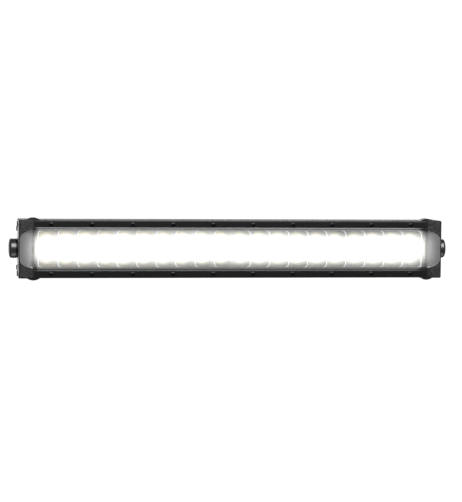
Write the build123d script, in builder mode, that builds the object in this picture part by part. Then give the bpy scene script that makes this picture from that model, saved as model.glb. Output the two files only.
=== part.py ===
from build123d import *
import os

# A double-row LED light bar: a finned aluminium extrusion with a trough for the lamps at the front,
# a chamber for the driver behind it, and a cast cap sealed to each end. Each cap carries a pivot bolt
# that clamps the ear of a mounting bracket.
#
# Frame, in millimetres: +X along the bar, -Y the way the lamps shine, +Z up.
# The origin is on the common axis of the two pivot bolts, midway between the caps.

# ---------------------------------------------------------------- lamps
cup_pitch = 25.0             # from lamp to lamp, along the bar and between the rows
cups_across = 20
cup_rows = 2
module_cups = 4              # cups along one reflector moulding
module_gap = 0.2             # between neighbouring mouldings
cup_wall = 1.2
cup_web = 4.2                # from one mouth to the next
cup_corner_radius = 4.0
cup_throat_radius = 4.3      # clears the lamp's base
cup_mouth_radius = 14.0      # of the bowl, before its mouth is trimmed square
cup_bulge = 1.8              # how far the bowl's flank stands out from a straight cone
reflector_depth = 14.0
reflector_plate = 1.2
peg_radius = 1.2
peg_edge = 2.5               # from the peg's axis to the edge of the board
peg_clearance = 0.1
pad_hole_clearance = 0.4

lamp_base = 5.0
lamp_base_thickness = 0.8
lamp_base_corner = 0.3
lamp_dome_radius = 2.1

# ---------------------------------------------------------------- overall
body_height = 73.5
bar_depth = 58.0
end_margin = 3.5             # extrusion beyond the last cup
gasket_thickness = 2.0
cap_length = 18.0
cap_overhang = 0.4           # the caps stand proud of the extrusion all round
tail_drop = 12.0             # how far the back curves forward, from mid height to the shoulders

# ---------------------------------------------------------------- front stack, from the front to the back
bezel_set_back = 0.5         # behind the front face of the caps
bezel_thickness = 4.5
lens_thickness = 3.0
lens_seal_thickness = 1.5
reflector_gap = 0.3          # behind the lens
board_thickness = 1.6
pad_thickness = 0.5
pad_margin = 1.0             # pad smaller than its board all round
base_thickness = 4.0
chamber_depth = 12.0
rear_wall = 2.6

# ---------------------------------------------------------------- heights
bezel_height = 13.0          # of each strip
bezel_flat_top = 1.5         # from the bar's edge to the flat that holds the screws
bezel_flat = 7.55
bezel_step = 0.6             # small step halfway down the inner slope
bezel_lip = 1.0              # thickness left at the edge over the lens
lens_cover = 4.85            # lens hidden under each bezel
lens_clearance = 0.3
seal_width = 2.4
trough_clearance = 1.0       # above and below the reflectors
chamber_height = 34.0
chamber_wall = 2.5

# ---------------------------------------------------------------- fins
fin_count = 11
fin_thickness = 2.0
groove_count = 4
groove_pitch = 5.0
groove_width = 1.4
groove_depth = 0.8
groove_start = 2.0           # first groove, in front of the pivot axis

# ---------------------------------------------------------------- fasteners
thread_clearance = 0.02      # threads are plain cylinders with this much play
bezel_screw_count = 10
bezel_screw_pitch = 51.6
bezel_screw_radius = 1.5
bezel_screw_head_radius = 2.7
bezel_screw_length = 11.0
bezel_screw_recess = 0.25
bezel_screw_hex = 2.0
bezel_screw_hex_depth = 1.1
tapping_extra = 1.0          # hole beyond the end of a screw
board_screw_radius = 1.5
board_screw_head_radius = 2.75
board_screw_head = 1.8
board_screw_length = 5.2
board_screw_floor = 0.5      # left under the tapped holes
board_screw_slot = (2.8, 0.7)
cap_screw_radius = 2.0
cap_screw_head_radius = 3.5
cap_screw_head = 4.0
cap_screw_hex = 3.0
cap_screw_chamfer = 0.5
cap_screw_clearance = 0.2
cap_screw_reach = 14.0       # into the extrusion
cap_screw_counterbore = 2.5
cap_screw_front = 18.0       # behind the front of the caps
cap_screw_side = 5.35        # front pair, in from the top and bottom of the extrusion
cap_screw_rear = 35.0        # behind the front of the caps
screw_boss_wall = 1.6

# ---------------------------------------------------------------- end caps
lug_reach = 8.5              # half the length of the domed lug that straddles each joint
lug_rise = 2.6               # above the cap
lug_set_back = 2.5
lug_depth = 17.0
lug_edge = 0.8
cap_edge = 1.8
cap_wall = 3.0
cap_face = 3.5               # thickness of the outer face
cap_pocket_half = 20.0
scoop_mouth = 49.0           # height of the scoop beside the lens
scoop_narrowing = 5.2        # on each side, at its outer end
scoop_rim = 1.4              # left at the outer end
scoop_corner = 11.0
scoop_taper = 22.0
scoop_rise = 4.3             # of the floor, from the lens to the outer end

# ---------------------------------------------------------------- pivot bolts
stud_radius = 4.0            # M8
stud_clearance = 0.05
stud_reach = 13.0            # into the cap
knob_radius = 12.9
knob_length = 10.0
knob_dome = 2.0
knob_edge = 3.6
bolt_head_radius = 6.5
bolt_head_length = 6.5
bolt_hex = 6.0
bolt_hex_depth = 4.0
knob_recess_clearance = 0.2  # round the lock washer
washer_radius = 12.2
washer_hole_radius = 4.3
washer_thickness = 1.6
washer_chamfer = 0.3
lock_washer_radius = 7.4
lock_washer_thickness = 2.0
lock_washer_split = 1.2
running_gap = 0.05
insert_radius = 6.2
insert_set_back = 0.4
insert_end_gap = 1.0         # hole beyond the end of the stud
insert_floor = 1.2

# ---------------------------------------------------------------- cable gland and vent
gland_x = -200.0
vent_x = 200.0
port_pocket_radius = 13.0    # milled out of the fins round each port
port_thread_radius = 6.0     # M12
port_seal_radius = 7.4
port_seal_thickness = 1.2
gland_hex = 15.0
gland_hex_height = 4.0
gland_spigot_radius = 5.6
gland_spigot_length = 5.5
gland_nut_height = 8.6
gland_nut_wall = 1.7
gland_nut_gap = 0.3          # between the nut and the hexagon
gland_nut_flutes = 12
gland_nut_flute_radius = 0.7
gland_spigot_wall = 1.2
cable_radius = 3.25
cable_clearance = 0.15
gland_bore_radius = 3.9
gland_thread_length = 7.0
gland_locknut_height = 3.0
vent_hex = 16.0
vent_hex_height = 3.2
vent_crown_radius = 6.6
vent_crown_height = 3.4
vent_crown_edge = 1.1
vent_bore_radius = 2.5
vent_thread_length = 6.0
vent_membrane_radius = 4.6
vent_membrane_thickness = 0.4
vent_slot_width = 1.6
vent_slot_count = 6

# ---------------------------------------------------------------- driver
driver_x = -102.0
driver_length = 96.0
driver_board_thickness = 1.6
tray_wall = 1.0
tray_clearance = 0.4
tray_lift = 1.6              # board above the tray's floor
tray_side_height = 6.0
driver_post_radius = 2.6
driver_screw_radius = 1.25
driver_screw_head = 1.4
driver_screw_inset = (4.0, 3.5)
driver_row_z = 8.0           # coils below and capacitors above the middle row
coil_radius = 5.6
coil_flange = 0.9
coil_height = 5.4
coil_core_radius = 3.8
coil_offsets = (-14.0, 6.0)
capacitor_radius = 3.6
capacitor_height = 6.2
capacitor_offsets = (-27.0, 22.0)
chip_size = (6.0, 5.0, 1.6)
chip_offsets = (-22.0, -4.0, 14.0, 30.0)
terminal_size = (9.0, 13.0, 7.0)
terminal_way = 3.0
terminal_inset = 6.0         # from the end of the driver board
header_size = (5.0, 8.0, 6.0)
header_inset = 2.0

# ---------------------------------------------------------------- leads from the driver to the boards
lead_radius = 0.9
lead_spacing = 2.6
lead_hole_radius = 4.2       # through the base, lined by the grommet
grommet_wall = 1.0
grommet_flange = 1.4
grommet_flange_thickness = 0.8
board_gap = 0.6              # between the two lamp boards
board_notch_clearance = 0.5
lead_rise = 3.6              # over the front of the board
lead_landing = 8.0           # from the middle of the bar to each solder joint
lead_bend_radius = 3.0
link_size = (8.0, 3.0, 2.0)
link_edge = 4.0              # in from the long edges of the boards

# ---------------------------------------------------------------- worked-out places
housing_length = cups_across * cup_pitch + 2 * end_margin
housing_end = housing_length / 2
cap_inner_x = housing_end + gasket_thickness
cap_outer_x = cap_inner_x + cap_length

half_height = body_height / 2
cap_half_height = half_height + cap_overhang
front_y = -bar_depth / 2
tail_y = bar_depth / 2
housing_tail_y = tail_y - cap_overhang
shoulder_y = tail_y - tail_drop

bezel_front_y = front_y + bezel_set_back
flange_y = bezel_front_y + bezel_thickness
lens_back_y = flange_y + lens_thickness
ledge_y = lens_back_y + lens_seal_thickness
reflector_front_y = lens_back_y + reflector_gap
board_front_y = reflector_front_y + reflector_depth
board_back_y = board_front_y + board_thickness
floor_y = board_back_y + pad_thickness
base_back_y = floor_y + base_thickness
chamber_back_y = base_back_y + chamber_depth
rear_wall_y = chamber_back_y + rear_wall

opening_half = half_height - bezel_height
lens_half = opening_half + lens_cover
rebate_half = lens_half + lens_clearance
reflector_half = cup_rows * cup_pitch / 2
trough_half = reflector_half + trough_clearance
chamber_half = chamber_height / 2
bezel_screw_z = half_height - bezel_flat_top - bezel_flat / 2

fin_pitch = (body_height - fin_thickness) / (fin_count - 1)
fin_gap_rows = [(row - fin_count / 2 + 1) * fin_pitch for row in range(fin_count - 1)]
screw_gap_z = min(z for z in fin_gap_rows if z - fin_pitch / 2 > chamber_half)
cap_screw_front_y = front_y + cap_screw_front
cap_screw_rear_y = front_y + cap_screw_rear
cap_screw_places = [
    (cap_screw_front_y, half_height - cap_screw_side),
    (cap_screw_front_y, cap_screw_side - half_height),
    (cap_screw_rear_y, screw_gap_z),
    (cap_screw_rear_y, -screw_gap_z),
]

module_length = module_cups * cup_pitch
module_count = cups_across // module_cups
module_places = [(i - (module_count - 1) / 2) * module_length for i in range(module_count)]
board_length = (cups_across * cup_pitch - board_gap) / 2
board_centre_x = (board_length + board_gap) / 2
insert_length = stud_reach + insert_end_gap + insert_floor - insert_set_back
cap_pocket_front_y = flange_y + cap_wall
cap_pocket_back_y = chamber_back_y
board_half_height = reflector_half
peg_z = board_half_height - peg_edge
board_screw_places = [x + dx for x in module_places for dx in (-cup_pitch, cup_pitch)]


def front_plane(y):
    """The plane at depth y that faces the way the lamps shine: its own axes are X and Z."""
    return Plane.XZ.offset(-y)


def back_plane(y):
    """The plane at depth y that faces backward: its own axes are -X and Z."""
    return Plane((0, y, 0), x_dir=(-1, 0, 0), z_dir=(0, 1, 0))


def side_plane(x):
    """The plane square to the bar at x: its own axes are Y and Z."""
    return Plane.YZ.offset(x)


def bar_outline(front, shoulder, tail, half):
    """The bar's section, flat in front and on top, with a curved back."""
    with BuildLine() as outline:
        Polyline((shoulder, -half), (front, -half), (front, half), (shoulder, half))
        ThreePointArc((shoulder, half), (tail, 0), (shoulder, -half))
    return outline.line


def save(piece, name):
    piece.part.label = name
    export_step(piece.part, f"parts/{name}.step")


os.makedirs("parts", exist_ok=True)


# ================================================================ extruded housing
with BuildPart() as housing:
    with BuildSketch(side_plane(0)):
        add(bar_outline(flange_y, shoulder_y, housing_tail_y, half_height))
        make_face()
        with Locations(((flange_y + ledge_y) / 2, 0)):          # rebate for the lens and its seals
            Rectangle(ledge_y - flange_y, 2 * rebate_half, mode=Mode.SUBTRACT)
        with Locations(((ledge_y + floor_y) / 2, 0)):           # trough for the lamps
            Rectangle(floor_y - ledge_y, 2 * trough_half, mode=Mode.SUBTRACT)
        with Locations(((base_back_y + chamber_back_y) / 2, 0)):  # chamber for the driver
            Rectangle(chamber_depth, chamber_height, mode=Mode.SUBTRACT)
        for gap_z in fin_gap_rows:
            behind_chamber = abs(gap_z) - fin_pitch / 2 < chamber_half + chamber_wall - fin_thickness / 2
            root_y = rear_wall_y if behind_chamber else base_back_y
            with Locations(((root_y + tail_y) / 2, gap_z)):
                Rectangle(tail_y - root_y, fin_pitch - fin_thickness, mode=Mode.SUBTRACT)
        for edge_z in (half_height, -half_height):
            for groove in range(groove_count):
                with Locations((groove * groove_pitch - groove_start, edge_z)):
                    Rectangle(groove_width, 2 * groove_depth, mode=Mode.SUBTRACT)
        with Locations(*cap_screw_places[2:]):                  # rear screw channels, between two fins
            Circle(cap_screw_radius + screw_boss_wall)
        with Locations(*cap_screw_places):
            Circle(cap_screw_radius + thread_clearance, mode=Mode.SUBTRACT)
    extrude(amount=housing_end, both=True)

    with BuildSketch(front_plane(flange_y)):                    # tapped for the bezel screws
        with GridLocations(bezel_screw_pitch, 2 * bezel_screw_z, bezel_screw_count, 2):
            Circle(bezel_screw_radius + thread_clearance)
    extrude(amount=-(bezel_screw_length - bezel_thickness + tapping_extra), mode=Mode.SUBTRACT)

    with BuildSketch(front_plane(floor_y)):                     # tapped for the board screws
        with Locations(*[(x, 0) for x in board_screw_places]):
            Circle(board_screw_radius + thread_clearance)
    extrude(amount=-(base_thickness - board_screw_floor), mode=Mode.SUBTRACT)

    with BuildSketch(front_plane(floor_y)):                     # hole for the leads
        Circle(lead_hole_radius)
    extrude(amount=-base_thickness, mode=Mode.SUBTRACT)

    with BuildSketch(back_plane(rear_wall_y)):                  # fins milled away round the two ports
        with Locations((-gland_x, 0), (-vent_x, 0)):
            Circle(port_pocket_radius)
    extrude(amount=tail_y - rear_wall_y, mode=Mode.SUBTRACT)
    with BuildSketch(back_plane(rear_wall_y)):
        with Locations((-gland_x, 0), (-vent_x, 0)):
            Circle(port_thread_radius + thread_clearance)
    extrude(amount=-rear_wall, mode=Mode.SUBTRACT)
save(housing, "housing")


# ================================================================ bezel strips and their screws
def bezel(direction):
    """One extruded strip. direction is 1 at the top of the bar and -1 at the bottom."""
    flat_inner = half_height - bezel_flat_top - bezel_flat
    slope_middle_z = (flat_inner + opening_half) / 2
    lip_y = flange_y - bezel_lip
    slope_middle_y = (bezel_front_y + lip_y) / 2
    with BuildPart() as strip:
        with BuildSketch(side_plane(0)):
            with BuildLine():
                Polyline(
                    (flange_y, direction * opening_half),
                    (flange_y, direction * half_height),
                    (bezel_front_y + bezel_flat_top, direction * half_height),
                )
                TangentArc(
                    (bezel_front_y + bezel_flat_top, direction * half_height),
                    (bezel_front_y, direction * (half_height - bezel_flat_top)),
                    tangent=(-1, 0),
                )
                Polyline(
                    (bezel_front_y, direction * (half_height - bezel_flat_top)),
                    (bezel_front_y, direction * flat_inner),
                    (slope_middle_y, direction * (slope_middle_z + bezel_step / 2)),
                    (slope_middle_y, direction * (slope_middle_z - bezel_step / 2)),
                    (lip_y, direction * opening_half),
                    (flange_y, direction * opening_half),
                )
            make_face()
        extrude(amount=housing_end, both=True)
        for screw in range(bezel_screw_count):
            screw_x = (screw - (bezel_screw_count - 1) / 2) * bezel_screw_pitch
            with Locations(front_plane(bezel_front_y) * Pos(screw_x, direction * bezel_screw_z)):
                CounterSinkHole(
                    bezel_screw_radius + 2 * thread_clearance,
                    bezel_screw_head_radius + bezel_screw_recess,
                )
    return strip


def bezel_screws(direction):
    """The countersunk hex-socket screws of one strip."""
    head_y = bezel_front_y + bezel_screw_recess
    head_depth = bezel_screw_head_radius - bezel_screw_radius
    with BuildPart() as screws:
        for screw in range(bezel_screw_count):
            screw_x = (screw - (bezel_screw_count - 1) / 2) * bezel_screw_pitch
            with BuildSketch(front_plane(head_y)):
                with Locations((screw_x, direction * bezel_screw_z)):
                    Circle(bezel_screw_head_radius)
            extrude(amount=-head_depth, taper=45)
            with BuildSketch(front_plane(head_y + head_depth)):
                with Locations((screw_x, direction * bezel_screw_z)):
                    Circle(bezel_screw_radius)
            extrude(amount=-(bezel_screw_length - head_depth - bezel_screw_recess))
        with BuildSketch(front_plane(head_y)):
            with GridLocations(bezel_screw_pitch, 0, bezel_screw_count, 1):
                with Locations((0, direction * bezel_screw_z)):
                    RegularPolygon(bezel_screw_hex / 2, 6, major_radius=False)
        extrude(amount=-bezel_screw_hex_depth, mode=Mode.SUBTRACT)
    return screws


save(bezel(1), "upper_bezel")
save(bezel(-1), "lower_bezel")
save(bezel_screws(1), "upper_bezel_screws")
save(bezel_screws(-1), "lower_bezel_screws")


# ================================================================ lens and its seals
with BuildPart() as lens:
    with BuildSketch(front_plane(lens_back_y)):
        Rectangle(housing_length, 2 * lens_half)
    extrude(amount=lens_thickness)
save(lens, "lens")


def lens_seal(direction):
    """A silicone strip on the ledge behind one edge of the lens."""
    with BuildPart() as seal:
        with BuildSketch(front_plane(ledge_y)):
            with Locations((0, direction * (trough_half + rebate_half) / 2)):
                Rectangle(housing_length, seal_width)
        extrude(amount=lens_seal_thickness)
    return seal


save(lens_seal(1), "upper_lens_seal")
save(lens_seal(-1), "lower_lens_seal")


# ================================================================ reflectors
def bowl(throat, mouth, mouth_half, corner):
    """A bowl of revolution about a lamp's axis, trimmed to the rounded square mouth that it opens to."""
    middle = (throat + mouth) / 2 + cup_bulge
    with BuildPart() as solid:
        with BuildSketch(Plane.XY):
            with BuildLine():
                Polyline(
                    (mouth, reflector_front_y),
                    (0, reflector_front_y),
                    (0, board_front_y),
                    (throat, board_front_y),
                )
                ThreePointArc(
                    (throat, board_front_y),
                    (middle, (reflector_front_y + board_front_y) / 2),
                    (mouth, reflector_front_y),
                )
            make_face()
        revolve(axis=Axis.Y)
        with BuildSketch(front_plane(board_front_y)):
            RectangleRounded(2 * mouth_half, 2 * mouth_half, corner)
        extrude(amount=reflector_depth, mode=Mode.INTERSECT)
    return solid.part


cup_mouth_half = (cup_pitch - cup_web) / 2
cup_hollow = bowl(cup_throat_radius, cup_mouth_radius, cup_mouth_half, cup_corner_radius)
cup_shell = bowl(
    cup_throat_radius + cup_wall,
    cup_mouth_radius + cup_wall,
    cup_mouth_half + cup_wall,
    cup_corner_radius + cup_wall,
)


def every_cup(shape, mode):
    """Put the shape at each of a moulding's cups."""
    for row in range(cup_rows):
        for cup in range(module_cups):
            cup_x = (cup - (module_cups - 1) / 2) * cup_pitch
            cup_z = (row - (cup_rows - 1) / 2) * cup_pitch
            with Locations((cup_x, 0, cup_z)):
                add(shape, mode=mode)


# One moulding of four by two bowls joined by a thin front plate, with two pegs for the lamp board.
with BuildPart() as reflector:
    with BuildSketch(front_plane(reflector_front_y)):
        Rectangle(module_length - module_gap, 2 * reflector_half - module_gap)
    extrude(amount=-reflector_plate)
    every_cup(cup_shell, Mode.ADD)
    every_cup(cup_hollow, Mode.SUBTRACT)
    with BuildSketch(front_plane(reflector_front_y + reflector_plate / 2)):
        with Locations((-cup_pitch, peg_z), (cup_pitch, -peg_z)):
            Circle(peg_radius)
    extrude(amount=-(reflector_depth - reflector_plate / 2 + board_thickness))

for number, place in enumerate(module_places, start=1):
    with BuildPart() as module:
        with Locations((place, 0, 0)):
            add(reflector.part)
    save(module, f"reflector_{number}")


# ================================================================ lamp boards, pads and lamps
def lamp_board(side):
    """One aluminium-cored board, notched at the middle of the bar for the leads. side is -1 or 1."""
    with BuildPart() as board:
        with BuildSketch(front_plane(board_back_y)):
            with Locations((side * board_centre_x, 0)):
                Rectangle(board_length, 2 * board_half_height - module_gap)
            Circle(lead_hole_radius + grommet_flange + board_notch_clearance, mode=Mode.SUBTRACT)
            with Locations(*[(x, 0) for x in board_screw_places if x * side > 0]):
                Circle(board_screw_radius + peg_clearance, mode=Mode.SUBTRACT)
            pegs = [(x - cup_pitch, peg_z) for x in module_places]
            pegs += [(x + cup_pitch, -peg_z) for x in module_places]
            with Locations(*[peg for peg in pegs if peg[0] * side > 0]):
                Circle(peg_radius + peg_clearance, mode=Mode.SUBTRACT)
        extrude(amount=board_thickness)
    return board


def thermal_pad(side):
    """The heat-conducting pad under one board."""
    with BuildPart() as pad:
        with BuildSketch(front_plane(floor_y)):
            with Locations((side * board_centre_x, 0)):
                Rectangle(board_length - 2 * pad_margin, 2 * (board_half_height - pad_margin))
            Circle(lead_hole_radius + grommet_flange + board_notch_clearance, mode=Mode.SUBTRACT)
            with Locations(*[(x, 0) for x in board_screw_places if x * side > 0]):
                Circle(board_screw_radius + pad_hole_clearance, mode=Mode.SUBTRACT)
        extrude(amount=pad_thickness)
    return pad


save(lamp_board(-1), "left_lamp_board")
save(lamp_board(1), "right_lamp_board")
save(thermal_pad(-1), "left_thermal_pad")
save(thermal_pad(1), "right_thermal_pad")

with BuildPart() as board_screws:
    with BuildSketch(front_plane(board_front_y)):
        with Locations(*[(x, 0) for x in board_screw_places]):
            Circle(board_screw_head_radius)
    extrude(amount=board_screw_head)
    with BuildSketch(front_plane(board_front_y)):
        with Locations(*[(x, 0) for x in board_screw_places]):
            Circle(board_screw_radius)
    extrude(amount=-board_screw_length)
    with BuildSketch(front_plane(board_front_y - board_screw_head)):
        for angle in (0, 90):
            with Locations(*[(x, 0) for x in board_screw_places]):
                Rectangle(*board_screw_slot, rotation=angle)
    extrude(amount=-board_screw_head / 2, mode=Mode.SUBTRACT)
save(board_screws, "board_screws")

with BuildPart() as lamp_bases:
    with BuildSketch(front_plane(board_front_y)):
        with GridLocations(cup_pitch, cup_pitch, cups_across, cup_rows):
            RectangleRounded(lamp_base, lamp_base, lamp_base_corner)
    extrude(amount=lamp_base_thickness)
save(lamp_bases, "lamp_bases")

with BuildPart(front_plane(board_front_y - lamp_base_thickness)) as lamp_domes:
    with GridLocations(cup_pitch, cup_pitch, cups_across, cup_rows):
        Sphere(lamp_dome_radius, arc_size1=0, align=(Align.CENTER, Align.CENTER, Align.MIN))
save(lamp_domes, "lamp_domes")


# ================================================================ driver in its tray
tray_back_y = chamber_back_y - pad_thickness
tray_floor_y = tray_back_y - tray_wall
tray_half = chamber_half - tray_clearance
driver_half = tray_half - tray_wall - tray_clearance
driver_back_y = tray_floor_y - tray_lift
driver_face_y = driver_back_y - driver_board_thickness
driver_screw_spots = GridLocations(
    driver_length - 2 * driver_screw_inset[0], 2 * (driver_half - driver_screw_inset[1]), 2, 2
).locations
driver_screw_places = [(driver_x + spot.position.X, spot.position.Y) for spot in driver_screw_spots]


def driver_block(length, height, depth, offsets, z):
    """Blocks of one size standing on the driver board, at the given offsets from its middle."""
    with BuildPart() as blocks:
        with BuildSketch(front_plane(driver_face_y)):
            with Locations(*[(driver_x + offset, z) for offset in offsets]):
                Rectangle(length, height)
        extrude(amount=depth)
    return blocks


with BuildPart() as driver_pad:
    with BuildSketch(front_plane(chamber_back_y)):
        with Locations((driver_x, 0)):
            Rectangle(driver_length, 2 * (tray_half - tray_wall))
    extrude(amount=pad_thickness)
save(driver_pad, "driver_pad")

with BuildPart() as driver_tray:
    with BuildSketch(front_plane(tray_back_y)):
        with Locations((driver_x, 0)):
            Rectangle(driver_length + 2 * (tray_wall + tray_clearance), 2 * tray_half)
    extrude(amount=tray_side_height)
    with BuildSketch(front_plane(tray_floor_y)):
        with Locations((driver_x, 0)):
            Rectangle(driver_length + 2 * tray_clearance, 2 * (tray_half - tray_wall))
    extrude(amount=tray_side_height, mode=Mode.SUBTRACT)
    with BuildSketch(front_plane(tray_floor_y)):
        with Locations(*driver_screw_places):
            Circle(driver_post_radius)
            Circle(driver_screw_radius + thread_clearance, mode=Mode.SUBTRACT)
    extrude(amount=tray_lift)
save(driver_tray, "driver_tray")

with BuildPart() as driver_board:
    with BuildSketch(front_plane(driver_back_y)):
        with Locations((driver_x, 0)):
            Rectangle(driver_length, 2 * driver_half)
        with Locations(*driver_screw_places):
            Circle(driver_screw_radius + peg_clearance, mode=Mode.SUBTRACT)
    extrude(amount=driver_board_thickness)
save(driver_board, "driver_board")

with BuildPart() as driver_screws:
    with BuildSketch(front_plane(driver_face_y)):
        with Locations(*driver_screw_places):
            Circle(2 * driver_screw_radius)
    extrude(amount=driver_screw_head)
    with BuildSketch(front_plane(driver_face_y)):
        with Locations(*driver_screw_places):
            Circle(driver_screw_radius)
    extrude(amount=-(driver_board_thickness + tray_lift))
save(driver_screws, "driver_screws")

coil_stack = (
    (coil_radius, 0, coil_flange),
    (coil_core_radius, coil_flange, coil_height - 2 * coil_flange),
    (coil_radius, coil_height - coil_flange, coil_flange),
)
with BuildPart() as driver_coils:
    for radius, start, thickness in coil_stack:
        with BuildSketch(front_plane(driver_face_y - start)):
            with Locations(*[(driver_x + offset, -driver_row_z) for offset in coil_offsets]):
                Circle(radius)
        extrude(amount=thickness)
save(driver_coils, "driver_coils")

with BuildPart() as driver_capacitors:
    with BuildSketch(front_plane(driver_face_y)):
        with Locations(*[(driver_x + offset, driver_row_z) for offset in capacitor_offsets]):
            Circle(capacitor_radius)
    extrude(amount=capacitor_height)
save(driver_capacitors, "driver_capacitors")

chip_length, chip_width, chip_thickness = chip_size
save(driver_block(chip_length, chip_width, chip_thickness, chip_offsets, 0), "driver_chips")

terminal_length, terminal_width, terminal_depth = terminal_size
terminal_offset = (terminal_length - driver_length) / 2 + terminal_inset
with BuildPart() as driver_terminal:
    with BuildSketch(front_plane(driver_face_y)):
        with Locations((driver_x + terminal_offset, 0)):
            Rectangle(terminal_length, terminal_width)
    extrude(amount=terminal_depth)
    with BuildSketch(side_plane(driver_x + terminal_offset - terminal_length / 2)):
        with Locations((driver_face_y - terminal_depth / 2, 0)):
            with GridLocations(0, terminal_width / 2, 1, 2):
                Rectangle(terminal_way, terminal_way)
    extrude(amount=terminal_length / 2, mode=Mode.SUBTRACT)
save(driver_terminal, "driver_terminal")

header_length, header_width, header_depth = header_size
header_offset = (driver_length - header_length) / 2 - header_inset
save(driver_block(header_length, header_width, header_depth, [header_offset], 0), "driver_header")


# ================================================================ leads to the lamp boards
lead_start_x = driver_x + header_offset + header_length / 2
lead_run_y = driver_face_y - header_depth / 2


def lead(side):
    """One insulated wire: along the chamber, forward through the base and down onto its board."""
    z = side * lead_spacing / 2
    with BuildPart() as wire:
        with BuildLine() as route:
            FilletPolyline(
                (lead_start_x, lead_run_y, z),
                (0, lead_run_y, z),
                (0, board_front_y - lead_rise, z),
                (-lead_landing, board_front_y - lead_rise, z),
                (-lead_landing, board_front_y, z),
                radius=lead_bend_radius,
            )
        with BuildSketch(Plane(origin=route.line @ 0, z_dir=route.line % 0)):
            Circle(lead_radius)
        sweep()
    return wire


save(lead(1), "positive_lead")
save(lead(-1), "negative_lead")

grommet_length = base_back_y - board_front_y + grommet_flange_thickness
with BuildPart() as lead_grommet:
    with BuildSketch(front_plane(board_front_y)):
        Circle(lead_hole_radius + grommet_flange)
    extrude(amount=-grommet_length)
    with BuildSketch(front_plane(floor_y)):                     # its waist fills the hole in the base
        Circle(lead_hole_radius + grommet_flange)
        Circle(lead_hole_radius, mode=Mode.SUBTRACT)
    extrude(amount=-base_thickness, mode=Mode.SUBTRACT)
    with BuildSketch(front_plane(board_front_y)):
        Circle(lead_hole_radius - grommet_wall)
    extrude(amount=-grommet_length, mode=Mode.SUBTRACT)
save(lead_grommet, "lead_grommet")

link_length, link_width, link_height = link_size
with BuildPart() as board_links:
    with BuildSketch(front_plane(board_front_y)):
        with GridLocations(0, 2 * (board_half_height - link_edge), 1, 2):
            Rectangle(link_length, link_width)
    extrude(amount=link_height)
save(board_links, "board_links")


# ================================================================ cable gland and vent on the back
port_face_y = rear_wall_y + port_seal_thickness


def port_seal(port_x):
    """The O-ring between a port and the milled floor of its pocket, squeezed flat."""
    with BuildPart() as ring:
        with BuildSketch(back_plane(rear_wall_y)):
            with Locations((-port_x, 0)):
                Circle(port_seal_radius)
                Circle(port_thread_radius + peg_clearance, mode=Mode.SUBTRACT)
        extrude(amount=port_seal_thickness)
    return ring


def port_nut(port_x):
    """The hexagonal nut that holds a port from inside the chamber."""
    with BuildPart() as nut:
        with BuildSketch(back_plane(chamber_back_y)):
            with Locations((-port_x, 0)):
                RegularPolygon(gland_hex / 2, 6, major_radius=False)
                Circle(port_thread_radius + thread_clearance, mode=Mode.SUBTRACT)
        extrude(amount=-gland_locknut_height)
    return nut


save(port_seal(gland_x), "gland_seal")
save(port_nut(gland_x), "gland_locknut")
save(port_seal(vent_x), "vent_seal")
save(port_nut(vent_x), "vent_locknut")

gland_hex_y = port_face_y + gland_hex_height
gland_spigot_y = gland_hex_y + gland_spigot_length
gland_sleeve_radius = gland_spigot_radius - gland_spigot_wall
with BuildPart() as gland_body:
    with BuildSketch(back_plane(port_face_y)):
        with Locations((-gland_x, 0)):
            RegularPolygon(gland_hex / 2, 6, major_radius=False)
    extrude(amount=gland_hex_height)
    with BuildSketch(back_plane(gland_hex_y)):
        with Locations((-gland_x, 0)):
            Circle(gland_spigot_radius)
    extrude(amount=gland_spigot_length)
    with BuildSketch(back_plane(port_face_y)):
        with Locations((-gland_x, 0)):
            Circle(port_thread_radius)
    extrude(amount=-gland_thread_length)
    with BuildSketch(back_plane(port_face_y - gland_thread_length)):
        with Locations((-gland_x, 0)):
            Circle(gland_bore_radius)
    extrude(amount=gland_thread_length + gland_hex_height + gland_spigot_length, mode=Mode.SUBTRACT)
    with BuildSketch(back_plane(gland_hex_y)):
        with Locations((-gland_x, 0)):
            Circle(gland_sleeve_radius)
    extrude(amount=gland_spigot_length, mode=Mode.SUBTRACT)
save(gland_body, "gland_body")

with BuildPart() as gland_sleeve:
    with BuildSketch(back_plane(gland_hex_y)):
        with Locations((-gland_x, 0)):
            Circle(gland_sleeve_radius)
            Circle(cable_radius + cable_clearance, mode=Mode.SUBTRACT)
    extrude(amount=gland_spigot_length)
save(gland_sleeve, "gland_sleeve")

with BuildPart() as gland_nut:
    with BuildSketch(back_plane(gland_hex_y + gland_nut_gap)):
        with Locations((-gland_x, 0)):
            Circle(gland_spigot_radius + gland_nut_wall)
    extrude(amount=gland_nut_height)
    fillet(gland_nut.edges().group_by(Axis.Y)[-1], gland_nut_wall)
    with BuildSketch(back_plane(gland_hex_y + gland_nut_gap)):
        with Locations((-gland_x, 0)):
            Circle(gland_spigot_radius + thread_clearance)
    extrude(amount=gland_spigot_length - gland_nut_gap, mode=Mode.SUBTRACT)
    with BuildSketch(back_plane(gland_spigot_y)):
        with Locations((-gland_x, 0)):
            Circle(gland_bore_radius)
    extrude(amount=gland_nut_height, mode=Mode.SUBTRACT)
    with BuildSketch(back_plane(gland_hex_y + gland_nut_gap)):
        with Locations((-gland_x, 0)):
            with PolarLocations(gland_spigot_radius + gland_nut_wall, gland_nut_flutes):
                Circle(gland_nut_flute_radius)
    extrude(amount=gland_nut_height - 2 * gland_nut_wall, mode=Mode.SUBTRACT)
save(gland_nut, "gland_nut")

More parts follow.
